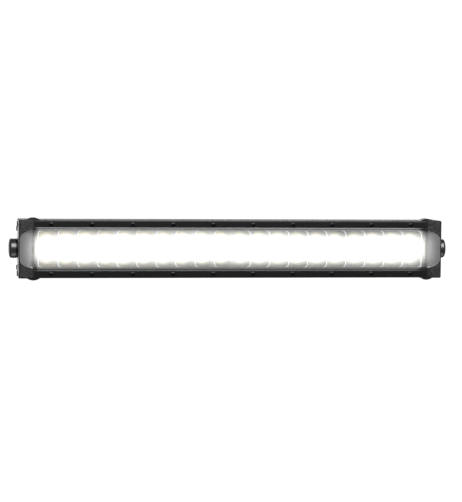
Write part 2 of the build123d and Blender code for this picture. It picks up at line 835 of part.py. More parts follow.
vent_hex_y = port_face_y + vent_hex_height
with BuildPart() as vent_body:
    with BuildSketch(back_plane(port_face_y)):
        with Locations((-vent_x, 0)):
            RegularPolygon(vent_hex / 2, 6, major_radius=False)
    extrude(amount=vent_hex_height)
    with BuildSketch(back_plane(vent_hex_y)):
        with Locations((-vent_x, 0)):
            Circle(vent_crown_radius)
    extrude(amount=vent_crown_height)
    fillet(vent_body.edges().group_by(Axis.Y)[-1], vent_crown_edge)
    with BuildSketch(back_plane(port_face_y)):
        with Locations((-vent_x, 0)):
            Circle(port_thread_radius)
    extrude(amount=-vent_thread_length)
    with BuildSketch(back_plane(port_face_y - vent_thread_length)):
        with Locations((-vent_x, 0)):
            Circle(vent_bore_radius)
    extrude(amount=vent_thread_length + vent_hex_height, mode=Mode.SUBTRACT)
    with BuildSketch(back_plane(vent_hex_y - vent_membrane_thickness)):
        with Locations((-vent_x, 0)):
            Circle(vent_membrane_radius)
    extrude(amount=vent_membrane_thickness + vent_slot_width, mode=Mode.SUBTRACT)
    for slot in range(vent_slot_count // 2):
        with BuildSketch(back_plane(vent_hex_y)):
            with Locations((-vent_x, 0)):
                Rectangle(2 * vent_hex, vent_slot_width, rotation=slot * 360 / vent_slot_count)
        extrude(amount=vent_slot_width, mode=Mode.SUBTRACT)
save(vent_body, "vent_body")

with BuildPart() as vent_membrane:
    with BuildSketch(back_plane(vent_hex_y - vent_membrane_thickness)):
        with Locations((-vent_x, 0)):
            Circle(vent_membrane_radius)
    extrude(amount=vent_membrane_thickness)
save(vent_membrane, "vent_membrane")


# ================================================================ end caps and everything on them
lug_front_y = front_y + lug_set_back
lug_top_z = cap_half_height + lug_rise
joint_x = housing_end + gasket_thickness / 2


def lug_profile(level):
    """The lug seen from the front: a flat foot at the given height under one arc across the joint."""
    with BuildLine() as profile:
        ThreePointArc((joint_x - lug_reach, level), (joint_x, lug_top_z), (joint_x + lug_reach, level))
        Line((joint_x + lug_reach, level), (joint_x - lug_reach, level))
    return profile.line


def lug(level, near_x, far_x):
    """The stretch of the upper and the lower lug between two places along the bar."""
    with BuildPart() as lugs:
        with BuildSketch(front_plane(lug_front_y + lug_depth)):
            add(lug_profile(level))
            make_face()
            with Locations(((near_x + far_x) / 2, (level + lug_top_z) / 2)):
                Rectangle(far_x - near_x, 2 * (lug_top_z - level), mode=Mode.INTERSECT)
        extrude(amount=lug_depth)
        chamfer(lugs.faces().sort_by(Axis.Y)[0].edges().filter_by(GeomType.CIRCLE), lug_edge)
        mirror(about=Plane.XY)
    return lugs.part


def end_gasket():
    """The right-hand gasket: a sheet the shape of the bar's end, with an ear over each joint."""
    with BuildPart() as gasket:
        with BuildSketch(side_plane(housing_end)):
            add(bar_outline(bezel_front_y, shoulder_y, housing_tail_y, half_height))
            make_face()
            with Locations(((bezel_front_y + flange_y) / 2, 0)):            # low in front of the lens
                Rectangle(flange_y - bezel_front_y, scoop_mouth, mode=Mode.SUBTRACT)
            with Locations(((ledge_y + floor_y) / 2, 0)):
                Rectangle(floor_y - ledge_y, 2 * trough_half, mode=Mode.SUBTRACT)
            with Locations(((base_back_y + chamber_back_y) / 2, 0)):
                Rectangle(chamber_depth, chamber_height, mode=Mode.SUBTRACT)
            with Locations(*cap_screw_places):
                Circle(cap_screw_radius + cap_screw_clearance, mode=Mode.SUBTRACT)
        extrude(amount=gasket_thickness)
        add(lug(half_height, joint_x - lug_reach, cap_inner_x))
    return gasket


def scoop():
    """The hollow that carries the light out past the lens, as the solid that is cut from the cap."""
    outer_x = cap_outer_x - scoop_rim
    inner_x = cap_inner_x - bar_depth / 2
    flare = scoop_narrowing / (outer_x - cap_inner_x)
    outer_half = scoop_mouth / 2 - scoop_narrowing
    inner_half = outer_half + flare * (outer_x - inner_x)
    with BuildPart() as hollow:
        with BuildSketch(front_plane(front_y)) as mouth:
            with BuildLine():
                Polyline(
                    (inner_x, -inner_half),
                    (inner_x, inner_half),
                    (outer_x, outer_half),
                    (outer_x, -outer_half),
                    close=True,
                )
            make_face()
            fillet(mouth.vertices().group_by(Axis.X)[-1], scoop_corner)
        extrude(amount=-(flange_y - front_y), taper=scoop_taper)
        with BuildSketch(Plane.XY):
            with BuildLine():
                Polyline(
                    (cap_inner_x, flange_y),
                    (inner_x, flange_y),
                    (inner_x, front_y),
                    (outer_x, front_y),
                    (outer_x, flange_y - scoop_rise),
                )
                TangentArc((outer_x, flange_y - scoop_rise), (cap_inner_x, flange_y), tangent=(-1, 0))
            make_face()
        extrude(amount=scoop_mouth, both=True, mode=Mode.INTERSECT)
    return hollow.part


def end_cap():
    """The right-hand cap: a die-casting, hollow behind, with the boss for the pivot's insert."""
    with BuildPart() as cap:
        with BuildSketch(side_plane(cap_inner_x)):
            add(bar_outline(front_y, shoulder_y, tail_y, cap_half_height))
            make_face()
        extrude(amount=cap_length)
        fillet(cap.edges().filter_by(Axis.X).group_by(Axis.Y)[0], cap_edge)
        fillet(cap.faces().sort_by(Axis.X)[-1].edges(), cap_edge)
        add(lug(half_height, cap_inner_x, joint_x + lug_reach))
        add(scoop(), mode=Mode.SUBTRACT)
        with BuildSketch(side_plane(cap_inner_x)):
            with Locations(((cap_pocket_front_y + cap_pocket_back_y) / 2, 0)):
                RectangleRounded(cap_pocket_back_y - cap_pocket_front_y, 2 * cap_pocket_half, cap_wall)
            Circle(insert_radius + cap_wall, mode=Mode.SUBTRACT)
        extrude(amount=cap_length - cap_face, mode=Mode.SUBTRACT)
        with BuildSketch(side_plane(cap_outer_x)):
            Circle(insert_radius)
        extrude(amount=-insert_length - insert_set_back, mode=Mode.SUBTRACT)
        with BuildSketch(side_plane(cap_inner_x)):
            with Locations(*cap_screw_places):
                Circle(cap_screw_radius + cap_screw_clearance)
        extrude(amount=cap_length, mode=Mode.SUBTRACT)
        with BuildSketch(side_plane(cap_outer_x)):
            with Locations(*cap_screw_places):
                Circle(cap_screw_head_radius + cap_screw_clearance)
        extrude(amount=-cap_screw_counterbore, mode=Mode.SUBTRACT)
    return cap


def cap_screws():
    """The four socket-head screws that pull a cap onto the extrusion."""
    seat_x = cap_outer_x - cap_screw_counterbore
    with BuildPart() as screws:
        with BuildSketch(side_plane(seat_x)):
            with Locations(*cap_screw_places):
                Circle(cap_screw_head_radius)
        extrude(amount=cap_screw_head)
        chamfer(screws.faces().group_by(Axis.X)[-1].edges(), cap_screw_chamfer)
        with BuildSketch(side_plane(seat_x)):
            with Locations(*cap_screw_places):
                Circle(cap_screw_radius)
        extrude(amount=-(seat_x - housing_end + cap_screw_reach))
        with BuildSketch(side_plane(seat_x + cap_screw_head)):
            with Locations(*cap_screw_places):
                RegularPolygon(cap_screw_hex / 2, 6, major_radius=False)
        extrude(amount=-cap_screw_head / 2, mode=Mode.SUBTRACT)
    return screws


def thread_insert():
    """The steel bush cast into the cap that the pivot bolt screws into, blind at its inner end."""
    outer_x = cap_outer_x - insert_set_back
    with BuildPart() as insert:
        with BuildSketch(side_plane(outer_x)):
            Circle(insert_radius)
        extrude(amount=-insert_length)
        with BuildSketch(side_plane(outer_x)):
            Circle(stud_radius + stud_clearance)
        extrude(amount=-(insert_length - insert_floor), mode=Mode.SUBTRACT)
    return insert


washer_x = cap_outer_x + running_gap
knob_x = washer_x + washer_thickness + running_gap
bolt_head_x = knob_x + lock_washer_thickness
knob_face_x = knob_x + knob_length


def flat_washer():
    """The wide washer that bears on the bracket's ear."""
    with BuildPart() as washer:
        with BuildSketch(side_plane(washer_x)):
            Circle(washer_radius)
            Circle(washer_hole_radius, mode=Mode.SUBTRACT)
        extrude(amount=washer_thickness)
        rims = washer.edges().filter_by(GeomType.CIRCLE)
        chamfer(rims.filter_by(lambda rim: rim.radius > washer_hole_radius), washer_chamfer)
    return washer


def lock_washer():
    """The split spring washer, seated in the knob's recess."""
    with BuildPart() as washer:
        with BuildSketch(side_plane(washer_x + washer_thickness)):
            Circle(lock_washer_radius)
            Circle(washer_hole_radius, mode=Mode.SUBTRACT)
            with Locations((0, lock_washer_radius)):
                Rectangle(lock_washer_split, 2 * (lock_washer_radius - stud_radius), mode=Mode.SUBTRACT)
        extrude(amount=lock_washer_thickness)
    return washer


def pivot_bolt():
    """The M8 socket-head bolt inside the knob."""
    with BuildPart() as bolt:
        with BuildSketch(side_plane(bolt_head_x)):
            Circle(bolt_head_radius)
        extrude(amount=bolt_head_length)
        chamfer(bolt.faces().sort_by(Axis.X)[-1].edges(), cap_screw_chamfer)
        with BuildSketch(side_plane(bolt_head_x)):
            Circle(stud_radius)
        extrude(amount=-(bolt_head_x - cap_outer_x + stud_reach))
        with BuildSketch(side_plane(bolt_head_x + bolt_head_length)):
            RegularPolygon(bolt_hex / 2, 6, major_radius=False)
        extrude(amount=-bolt_hex_depth, mode=Mode.SUBTRACT)
    return bolt


def knob():
    """The moulded knob pressed over the bolt's head, rounded at its outer edge."""
    with BuildPart() as moulding:
        with BuildSketch(Plane.XY) as half_section:
            with BuildLine():
                Line((knob_x, 0), (knob_x, knob_radius))
                Line((knob_x, knob_radius), (knob_face_x - knob_dome, knob_radius))
                ThreePointArc(
                    (knob_face_x - knob_dome, knob_radius),
                    (knob_face_x - knob_dome / 4, knob_radius / 2),
                    (knob_face_x, 0),
                )
                Line((knob_face_x, 0), (knob_x, 0))
            make_face()
            chamfer(half_section.vertices().group_by(Axis.Y)[-1].sort_by(Axis.X)[0], washer_chamfer)
            fillet(half_section.vertices().group_by(Axis.Y)[-1].sort_by(Axis.X)[-1], knob_edge)
        revolve(axis=Axis.X)
        with BuildSketch(side_plane(knob_x)):
            Circle(lock_washer_radius + knob_recess_clearance)
        extrude(amount=lock_washer_thickness, mode=Mode.SUBTRACT)
        with BuildSketch(side_plane(bolt_head_x)):
            Circle(bolt_head_radius)
        extrude(amount=knob_length, mode=Mode.SUBTRACT)
    return moulding


end_pieces = (
    (end_gasket, "end_gasket"),
    (end_cap, "end_cap"),
    (cap_screws, "cap_screws"),
    (thread_insert, "thread_insert"),
    (flat_washer, "flat_washer"),
    (lock_washer, "lock_washer"),
    (pivot_bolt, "pivot_bolt"),
    (knob, "knob"),
)
for make_piece, name in end_pieces:
    right = make_piece()
    save(right, f"right_{name}")
    with BuildPart() as left:
        add(mirror(right.part, about=Plane.YZ, mode=Mode.PRIVATE))
    save(left, f"left_{name}")
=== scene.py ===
import math

import bmesh
import bpy
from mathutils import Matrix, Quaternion, Vector


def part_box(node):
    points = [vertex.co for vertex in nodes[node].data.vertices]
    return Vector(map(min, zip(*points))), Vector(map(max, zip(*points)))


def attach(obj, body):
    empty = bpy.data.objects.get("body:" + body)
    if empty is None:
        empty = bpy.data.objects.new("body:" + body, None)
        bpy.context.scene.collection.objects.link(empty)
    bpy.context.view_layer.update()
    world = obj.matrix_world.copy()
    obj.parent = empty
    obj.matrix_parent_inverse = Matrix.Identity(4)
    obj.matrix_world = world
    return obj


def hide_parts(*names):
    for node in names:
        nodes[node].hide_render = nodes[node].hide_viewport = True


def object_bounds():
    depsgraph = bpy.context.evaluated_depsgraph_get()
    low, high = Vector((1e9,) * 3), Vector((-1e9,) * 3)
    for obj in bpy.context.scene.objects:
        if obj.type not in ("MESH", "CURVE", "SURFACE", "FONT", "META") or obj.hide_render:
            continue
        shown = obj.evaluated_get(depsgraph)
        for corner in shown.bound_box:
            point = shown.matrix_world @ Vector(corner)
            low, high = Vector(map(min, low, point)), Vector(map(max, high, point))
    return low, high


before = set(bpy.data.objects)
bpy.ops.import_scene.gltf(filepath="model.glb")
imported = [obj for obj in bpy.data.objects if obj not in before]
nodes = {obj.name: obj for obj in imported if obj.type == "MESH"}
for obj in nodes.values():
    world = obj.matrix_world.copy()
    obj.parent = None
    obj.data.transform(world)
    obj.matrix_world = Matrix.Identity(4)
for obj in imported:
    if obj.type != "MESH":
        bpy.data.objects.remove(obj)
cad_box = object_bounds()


# ---- Camera ----
# A long lens a little above the bar and to the left of its middle,
# so that the left cap's outer face just shows and the right end is slightly further off.
VIEW_DISTANCE = 2.5
VIEW_AZIMUTH = math.radians(8.42)
VIEW_HEIGHT = math.radians(3.3)
VIEW_ROLL = math.radians(0.5)
VIEW_TARGET = Vector((0.0013, 0.0, -0.0038))
SENSOR_HEIGHT = 24.0
LENS_OVER_SENSOR = 3.8478
FAR_CLIP = 100.0

back_along_view = Vector((
    -math.sin(VIEW_AZIMUTH) * math.cos(VIEW_HEIGHT),
    -math.cos(VIEW_AZIMUTH) * math.cos(VIEW_HEIGHT),
    math.sin(VIEW_HEIGHT),
))
camera_data = bpy.data.cameras.new("view")
camera = bpy.data.objects.new("view", camera_data)
bpy.context.scene.collection.objects.link(camera)
camera_data.sensor_fit = "VERTICAL"
camera_data.sensor_height = SENSOR_HEIGHT
camera_data.lens = SENSOR_HEIGHT * LENS_OVER_SENSOR
camera_data.clip_end = FAR_CLIP
camera.location = VIEW_TARGET + VIEW_DISTANCE * back_along_view
camera.rotation_mode = "QUATERNION"
camera.rotation_quaternion = back_along_view.to_track_quat("Z", "Y") @ Quaternion((0, 0, 1), VIEW_ROLL)
bpy.context.scene.camera = camera


# ---- Floor and backdrop ----
# A plain white studio: a white floor well below the bar, so that no shadow of it shows, and white
# all round. Both look far brighter than the light they give, as if black flags kept it off the bar.
FLOOR_DROP = 0.62
FLOOR_HALF = 14.0


def linear(colour):
    """The linear RGBA of an sRGB hex colour."""
    parts = [int(colour[i:i + 2], 16) / 255 for i in (1, 3, 5)]
    return tuple(c / 12.92 if c <= 0.04045 else ((c + 0.055) / 1.055) ** 2.4 for c in parts) + (1.0,)


def add_node(tree, kind, sockets=None, links=None, **settings):
    """Add a node, with its settings, the values of its sockets, and the outputs that feed the others."""
    made = tree.nodes.new(kind)
    for name, value in settings.items():
        setattr(made, name, value)
    for name, value in (sockets or {}).items():
        made.inputs[name].default_value = value
    for name, (source, output) in (links or {}).items():
        tree.links.new(source.outputs[output], made.inputs[name])
    return made


def new_material(name):
    """An empty node material: its tree, and its output node."""
    made = bpy.data.materials.new(name)
    made.use_nodes = True
    made.node_tree.nodes.clear()
    return made, made.node_tree


def noise_over(tree, place, scale, detail=3.0):
    """Noise in the object's own metres, with this many grains to the metre."""
    return add_node(tree, "ShaderNodeTexNoise", {"Scale": scale, "Detail": detail},
                    {"Vector": (place, "Object")})


def finish_material(tree, shader, bump=None):
    """Join the shader, and the bump if there is one, to the material's output."""
    if bump:
        tree.links.new(bump.outputs["Normal"], shader.inputs["Normal"])
    add_node(tree, "ShaderNodeOutputMaterial", links={"Surface": (shader, 0)})


def dress(material, *names):
    """Give CAD nodes this material."""
    for name in names:
        data = nodes[name].data
        data.materials.clear()
        data.materials.append(material)
        for polygon in data.polygons:
            polygon.material_index = 0


floor_mesh = bpy.data.meshes.new("floor")
floor_z = cad_box[0][2] - FLOOR_DROP
corners = [(x * FLOOR_HALF, y * FLOOR_HALF, floor_z) for x, y in ((-1, -1), (1, -1), (1, 1), (-1, 1))]
floor_mesh.from_pydata(corners, [], [(0, 1, 2, 3)])
floor = bpy.data.objects.new("floor", floor_mesh)
bpy.context.scene.collection.objects.link(floor)
paper, tree = new_material("white_paper_sweep")
paper_shader = add_node(tree, "ShaderNodeBsdfPrincipled", {
    "Base Color": linear("#f6f6f6"), "Roughness": 0.9,
    "Emission Color": linear("#ffffff"), "Emission Strength": 0.95})
finish_material(tree, paper_shader)
floor_mesh.materials.append(paper)
floor.visible_diffuse = False
floor.visible_glossy = False

world = bpy.data.worlds.new("studio")
bpy.context.scene.world = world
world.use_nodes = True
tree = world.node_tree
tree.nodes.clear()
path = add_node(tree, "ShaderNodeLightPath")
seen = add_node(tree, "ShaderNodeBackground", {"Color": linear("#ffffff"), "Strength": 1.05})
given = add_node(tree, "ShaderNodeBackground", {"Color": linear("#ffffff"), "Strength": 0.11})
both = add_node(tree, "ShaderNodeMixShader", links={
    0: (path, "Is Camera Ray"), 1: (given, 0), 2: (seen, 0)})
add_node(tree, "ShaderNodeOutputWorld", links={"Surface": (both, 0)})
bpy.context.scene.view_settings.view_transform = "Standard"


# ---- Studio lights ----
# A wide softbox in front and above draws the band across the knobs and the line along the bezels' tops.
# One far back at the left skims the left cap's outer face, and two behind show the fins in other views.
# A white card under each knob gives it a second, fainter band low down.
def softbox(name, place, aimed_at, width, height, radiance):
    """A rectangular light that gives an even brightness over its face."""
    data = bpy.data.lights.new(name, "AREA")
    data.shape = "RECTANGLE"
    data.size = width
    data.size_y = height
    data.energy = radiance * math.pi * width * height
    light = bpy.data.objects.new(name, data)
    bpy.context.scene.collection.objects.link(light)
    light.location = place
    light.rotation_euler = (Vector(aimed_at) - Vector(place)).to_track_quat("-Z", "Y").to_euler()
    return light


softbox("front_softbox", (0.1, -1.25, 0.9), (0, 0, 0), 2.6, 1.1, 4.6)
softbox("skimming_softbox", (-1.05, 1.3, 0.05), (-0.27, 0, 0), 0.8, 0.8, 8.0)
softbox("rear_softbox", (0.3, 1.9, 1.1), (0, 0, 0), 2.2, 0.9, 3.0)
softbox("low_rear_softbox", (0.45, 1.9, -0.31), (0, 0, 0), 1.6, 0.5, 9.0)
CARD_SIZE = 0.3
CARD_RADIANCE = 0.9
for card_name, side in (("left_card", -1), ("right_card", 1)):
    card = softbox(card_name, (side * 0.29, -0.10, -0.40), (side * 0.28, 0, 0),
                   CARD_SIZE, CARD_SIZE, CARD_RADIANCE)
    card.visible_camera = False
    card.visible_diffuse = False


# ---- Extruded housing and bezels ----
# Aluminium pushed through a die, which leaves faint lines along it, then anodised satin black.
# The oxide takes a dye and stays a hard, even skin that shines softly.
DIE_LINES = 1900.0


def extruded_black(name, colour, roughness):
    """Black anodised aluminium with the die's lines along X, about 0.5 mm apart, coarse enough to show."""
    made, tree = new_material(name)
    place = add_node(tree, "ShaderNodeTexCoord")
    along = add_node(tree, "ShaderNodeMapping", {"Scale": (3.0, DIE_LINES, DIE_LINES)},
                     {"Vector": (place, "Object")})
    lines = add_node(tree, "ShaderNodeTexNoise", {"Scale": 1.0, "Detail": 2.0, "Roughness": 0.5},
                     {"Vector": (along, 0)})
    blotch = noise_over(tree, place, 38.0)
    tint = add_node(tree, "ShaderNodeMix", {6: linear(colour[0]), 7: linear(colour[1])},
                    {0: (blotch, "Fac")}, data_type="RGBA")
    rough = add_node(tree, "ShaderNodeMapRange", {3: roughness - 0.06, 4: roughness + 0.08},
                     {0: (lines, "Fac")})
    shader = add_node(tree, "ShaderNodeBsdfPrincipled",
                      {"Metallic": 0.25, "Coat Weight": 0.12, "Coat Roughness": 0.22},
                      {"Base Color": (tint, 2), "Roughness": (rough, 0)})
    bump = add_node(tree, "ShaderNodeBump", {"Strength": 0.12, "Distance": 0.00006},
                    {"Height": (lines, "Fac")})
    finish_material(tree, shader, bump)
    return made


housing_finish = extruded_black("black_anodised_housing", ("#0b0c0d", "#111213"), 0.5)
bezel_finish = extruded_black("black_anodised_bezel", ("#0c0c0d", "#121214"), 0.32)
dress(housing_finish, "housing")
dress(bezel_finish, "upper_bezel", "lower_bezel")


# ---- End caps ----
# Die-cast aluminium, sprayed with a black wrinkle powder and baked, so light breaks up over small grains.
# The scoop beside the lens is smooth and dull, and painted lighter grey: painted light from the lamps.
GRAIN = 0.0012
SCOOP_HALF = 0.0243
SCOOP_RIM = 0.0013
SCOOP_EDGE = 0.0003
SCOOP_DEPTH = 0.0088

cap_low, cap_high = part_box("right_end_cap")


def inside(tree, value, limit):
    """1 where the value is under the limit, else 0."""
    return add_node(tree, "ShaderNodeMath", {1: limit}, {0: value}, operation="LESS_THAN")


wrinkle, tree = new_material("black_wrinkle_powder_coat")
place = add_node(tree, "ShaderNodeTexCoord")
apart = add_node(tree, "ShaderNodeSeparateXYZ", links={0: (place, "Object")})
along = add_node(tree, "ShaderNodeMath", links={0: (apart, "X")}, operation="ABSOLUTE")
up = add_node(tree, "ShaderNodeMath", links={0: (apart, "Z")}, operation="ABSOLUTE")
sunk = add_node(tree, "ShaderNodeMath", {1: cap_low[1] + SCOOP_EDGE}, {0: (apart, "Y")},
                operation="GREATER_THAN")
within = add_node(tree, "ShaderNodeMath", links={
    0: (inside(tree, (along, 0), cap_high[0] - SCOOP_RIM), 0),
    1: (inside(tree, (up, 0), SCOOP_HALF), 0)}, operation="MULTIPLY")
above_floor = add_node(tree, "ShaderNodeMath", links={
    0: (sunk, 0), 1: (inside(tree, (apart, "Y"), cap_low[1] + SCOOP_DEPTH), 0)}, operation="MULTIPLY")
scoop_lamp_light_mask = add_node(tree, "ShaderNodeMath", links={0: (within, 0), 1: (above_floor, 0)},
                   operation="MULTIPLY")
grain = add_node(tree, "ShaderNodeTexVoronoi", {"Scale": 1 / GRAIN, "Smoothness": 0.7},
                 {"Vector": (place, "Object")}, feature="SMOOTH_F1")
fleck = noise_over(tree, place, 0.6 / GRAIN)
height = add_node(tree, "ShaderNodeMath", links={0: (grain, "Distance"), 1: (fleck, "Fac")},
                  operation="ADD")
mottle = add_node(tree, "ShaderNodeMapRange", {1: 0.38, 2: 0.62}, {0: (fleck, "Fac")})
powder = add_node(tree, "ShaderNodeMix", {6: linear("#060607"), 7: linear("#323234")}, {0: (mottle, 0)},
                  data_type="RGBA")
# Painted light: the scoop's lighter grey stands in for the lamps' light falling on it.
tint = add_node(tree, "ShaderNodeMix", {7: linear("#636363")}, {0: (scoop_lamp_light_mask, 0), 6: (powder, 2)},
                data_type="RGBA")
rough = add_node(tree, "ShaderNodeMapRange", {3: 0.52, 4: 0.58}, {0: (scoop_lamp_light_mask, 0)})
relief = add_node(tree, "ShaderNodeMapRange", {3: 0.9, 4: 0.02}, {0: (scoop_lamp_light_mask, 0)})
shader = add_node(tree, "ShaderNodeBsdfPrincipled", {"Specular IOR Level": 0.4},
                  {"Base Color": (tint, 2), "Roughness": (rough, 0)})
bump = add_node(tree, "ShaderNodeBump", {"Distance": 0.00035},
                {"Height": (height, 0), "Strength": (relief, 0)})
finish_material(tree, shader, bump)
dress(wrinkle, "left_end_cap", "right_end_cap")


# ---- End gaskets and seals ----
# Moulded rubber: black, close to matt, with the faint orange peel of its mould.
def moulded_rubber(name, colour, roughness):
    """Rubber whose mould left a soft unevenness about a millimetre across."""
    made, tree = new_material(name)
    place = add_node(tree, "ShaderNodeTexCoord")
    peel = noise_over(tree, place, 900.0, 2.0)
    rough = add_node(tree, "ShaderNodeMapRange", {3: roughness - 0.05, 4: roughness + 0.1},
                     {0: (peel, "Fac")})
    shader = add_node(tree, "ShaderNodeBsdfPrincipled", {"Base Color": linear(colour), "IOR": 1.52},
                      {"Roughness": (rough, 0)})
    bump = add_node(tree, "ShaderNodeBump", {"Strength": 0.2, "Distance": 0.0001},
                    {"Height": (peel, "Fac")})
    finish_material(tree, shader, bump)
    return made


gasket_rubber = moulded_rubber("moulded_rubber", "#0c0c0c", 0.36)
silicone = moulded_rubber("black_silicone", "#101010", 0.55)
dress(gasket_rubber, "left_end_gasket", "right_end_gasket")
dress(silicone, "upper_lens_seal", "lower_lens_seal", "gland_seal", "vent_seal", "gland_sleeve",
      "lead_grommet")


# ---- Lens ----
# A flat strip of clear polycarbonate. Its emission is painted glare, a veil of the lamps' light that is
# strongest along the middle of the bar and thins out towards the bezels and the two ends.
lens_low, lens_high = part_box("lens")
LENS_HALF = lens_high[0]
VEIL_LIFT = 0.0008
VEIL_CORE = 0.004
VEIL_REACH = 0.0256
VEIL_WANDER = 0.004
END_FADE = 0.030

lens_plastic, tree = new_material("clear_polycarbonate")
place = add_node(tree, "ShaderNodeTexCoord")
apart = add_node(tree, "ShaderNodeSeparateXYZ", links={0: (place, "Object")})
drift = add_node(tree, "ShaderNodeMapping", {"Scale": (11.0, 0.0, 16.0)}, {"Vector": (place, "Object")})
haze = add_node(tree, "ShaderNodeTexNoise", {"Scale": 1.0, "Detail": 3.0, "Roughness": 0.5},
                {"Vector": (drift, 0)})
wander = add_node(tree, "ShaderNodeMapRange", {3: -VEIL_WANDER, 4: VEIL_WANDER}, {0: (haze, "Fac")})
above = add_node(tree, "ShaderNodeMath", {1: VEIL_LIFT}, {0: (apart, "Z")}, operation="SUBTRACT")
up = add_node(tree, "ShaderNodeMath", links={0: (above, 0)}, operation="ABSOLUTE")
off_middle = add_node(tree, "ShaderNodeMath", links={0: (up, 0), 1: (wander, 0)}, operation="ADD")
across = add_node(tree, "ShaderNodeMapRange", {1: VEIL_CORE, 2: VEIL_REACH, 3: 1.0, 4: 0.0},
                  {0: (off_middle, 0)}, interpolation_type="SMOOTHSTEP")
along = add_node(tree, "ShaderNodeMath", links={0: (apart, "X")}, operation="ABSOLUTE")
to_end = add_node(tree, "ShaderNodeMapRange", {1: LENS_HALF - END_FADE, 2: LENS_HALF, 3: 1.0, 4: 0.55},
                  {0: (along, 0)}, interpolation_type="SMOOTHSTEP")
painted_glare_veil = add_node(tree, "ShaderNodeMath", links={0: (across, 0), 1: (to_end, 0)}, operation="MULTIPLY")
# Emission on the lens, which is no lamp: painted glare.
strength = add_node(tree, "ShaderNodeMapRange", {3: 0.02, 4: 0.85}, {0: (painted_glare_veil, 0)})
shader = add_node(tree, "ShaderNodeBsdfPrincipled", {
    "Base Color": linear("#ffffff"), "Roughness": 0.03, "IOR": 1.58, "Transmission Weight": 1.0,
    "Emission Color": linear("#fffffb")}, {"Emission Strength": (strength, 0)})
finish_material(tree, shader)
dress(lens_plastic, "lens")

# What the lamps throw on the bezels' inner slopes, and past each end of the lens into the scoops.
BEAM_GAP = 0.0003
BEAM_DROP = 0.0014
BEAM_LENGTH = 0.498
BEAM_HEIGHT = 0.044
SPILL_OUT = 0.009
SPILL_INSET = 0.003
SPILL_WIDTH = 0.006
SPILL_HEIGHT = 0.030

beam = softbox("lamp_beam", (0, lens_low[1] - BEAM_GAP, -BEAM_DROP), (0, -1, -BEAM_DROP),
               BEAM_LENGTH, BEAM_HEIGHT, 8.5)
beam.visible_camera = False
for spill_name, side in (("left_spill", -1), ("right_spill", 1)):
    spill = softbox(spill_name,
                    (side * (LENS_HALF - SPILL_INSET), lens_low[1] - SPILL_OUT, 0),
                    (side * (LENS_HALF + SPILL_OUT), lens_low[1], 0), SPILL_WIDTH, SPILL_HEIGHT, 11.0)
    spill.visible_camera = False
    spill.visible_glossy = False
    spill.visible_transmission = False


# ---- Reflectors ----
# Moulded plastic with aluminium deposited on it in a vacuum, so each bowl is a mirror round its lamp.
# Their emission paints the lamps' light on them: a painted reflection from white at the lamp to grey at
# the mouth, a faint painted glow on the webs between them, and a painted highlight along the corners of
# each mouth that are further from the middle of the bar.
CUP_PITCH = 0.025
CUP_MOUTH_HALF = 0.0104
CUP_CORNER = 0.004
WEB_EDGE = 0.0009
WEB_SKIN = 0.0003
GLOW_CORE = 0.004
GLOW_REACH = 0.0135
EDGE_START = 0.005
EDGE_FULL = 0.0095
reflector_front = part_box("reflector_3")[0][1]

mirror_plastic, tree = new_material("vacuum_metallised_plastic")
place = add_node(tree, "ShaderNodeTexCoord")
apart = add_node(tree, "ShaderNodeSeparateXYZ", links={0: (place, "Object")})


def from_lamp(axis):
    """How far a point is from the nearest lamp along one axis."""
    to_boundary = add_node(tree, "ShaderNodeMath", {1: CUP_PITCH / 2}, {0: (apart, axis)},
                           operation="PINGPONG")
    return add_node(tree, "ShaderNodeMath", {0: CUP_PITCH / 2}, {1: (to_boundary, 0)}, operation="SUBTRACT")


def past_flat(distance):
    """How far a point is past the flat part of a mouth's side, where its rounded corner starts."""
    past = add_node(tree, "ShaderNodeMath", {1: CUP_MOUTH_HALF - CUP_CORNER}, {0: (distance, 0)},
                    operation="SUBTRACT")
    return add_node(tree, "ShaderNodeMath", {1: 0.0}, {0: (past, 0)}, operation="MAXIMUM")


def length_of(across, up):
    """The length of the flat vector with these two sides."""
    flat = add_node(tree, "ShaderNodeCombineXYZ", links={0: (across, 0), 1: (up, 0)})
    return add_node(tree, "ShaderNodeVectorMath", links={0: (flat, 0)}, operation="LENGTH")


across, up = from_lamp("X"), from_lamp("Z")
radius = length_of(across, up)
corner = length_of(past_flat(across), past_flat(up))
on_web = add_node(tree, "ShaderNodeMath", {1: reflector_front + WEB_SKIN}, {0: (apart, "Y")},
                  operation="LESS_THAN")
from_core = add_node(tree, "ShaderNodeMapRange", {1: GLOW_CORE, 2: GLOW_REACH}, {0: (radius, "Value")})
# Painted reflection of the lamp in each bowl, by distance from the lamp.
painted_bowl_reflection = add_node(tree, "ShaderNodeValToRGB", links={0: (from_core, 0)})
ramp = painted_bowl_reflection.color_ramp
ramp.elements[0].color = linear("#fffdec")
ramp.elements[1].position = 0.98
ramp.elements[1].color = linear("#606061")
for position, colour in ((0.3, "#d6d4c4"), (0.6, "#8e8e89"), (0.8, "#6c6c6e")):
    ramp.elements.new(position).color = linear(colour)
edge = add_node(tree, "ShaderNodeMapRange",
                {1: CUP_CORNER + 0.5 * WEB_EDGE, 2: CUP_CORNER + WEB_EDGE, 3: 1.0, 4: 0.0},
                {0: (corner, "Value")})
half = add_node(tree, "ShaderNodeMath", links={0: (apart, "X")}, operation="SIGN")
in_cell = add_node(tree, "ShaderNodeMath", {1: CUP_PITCH, 2: 0.0}, {0: (apart, "X")}, operation="WRAP")
off_lamp = add_node(tree, "ShaderNodeMath", {1: CUP_PITCH / 2}, {0: (in_cell, 0)}, operation="SUBTRACT")
outward = add_node(tree, "ShaderNodeMath", links={0: (off_lamp, 0), 1: (half, 0)}, operation="MULTIPLY")
far_side = add_node(tree, "ShaderNodeMapRange", {1: EDGE_START, 2: EDGE_FULL, 3: 0.1, 4: 2.2},
                    {0: (outward, 0)})
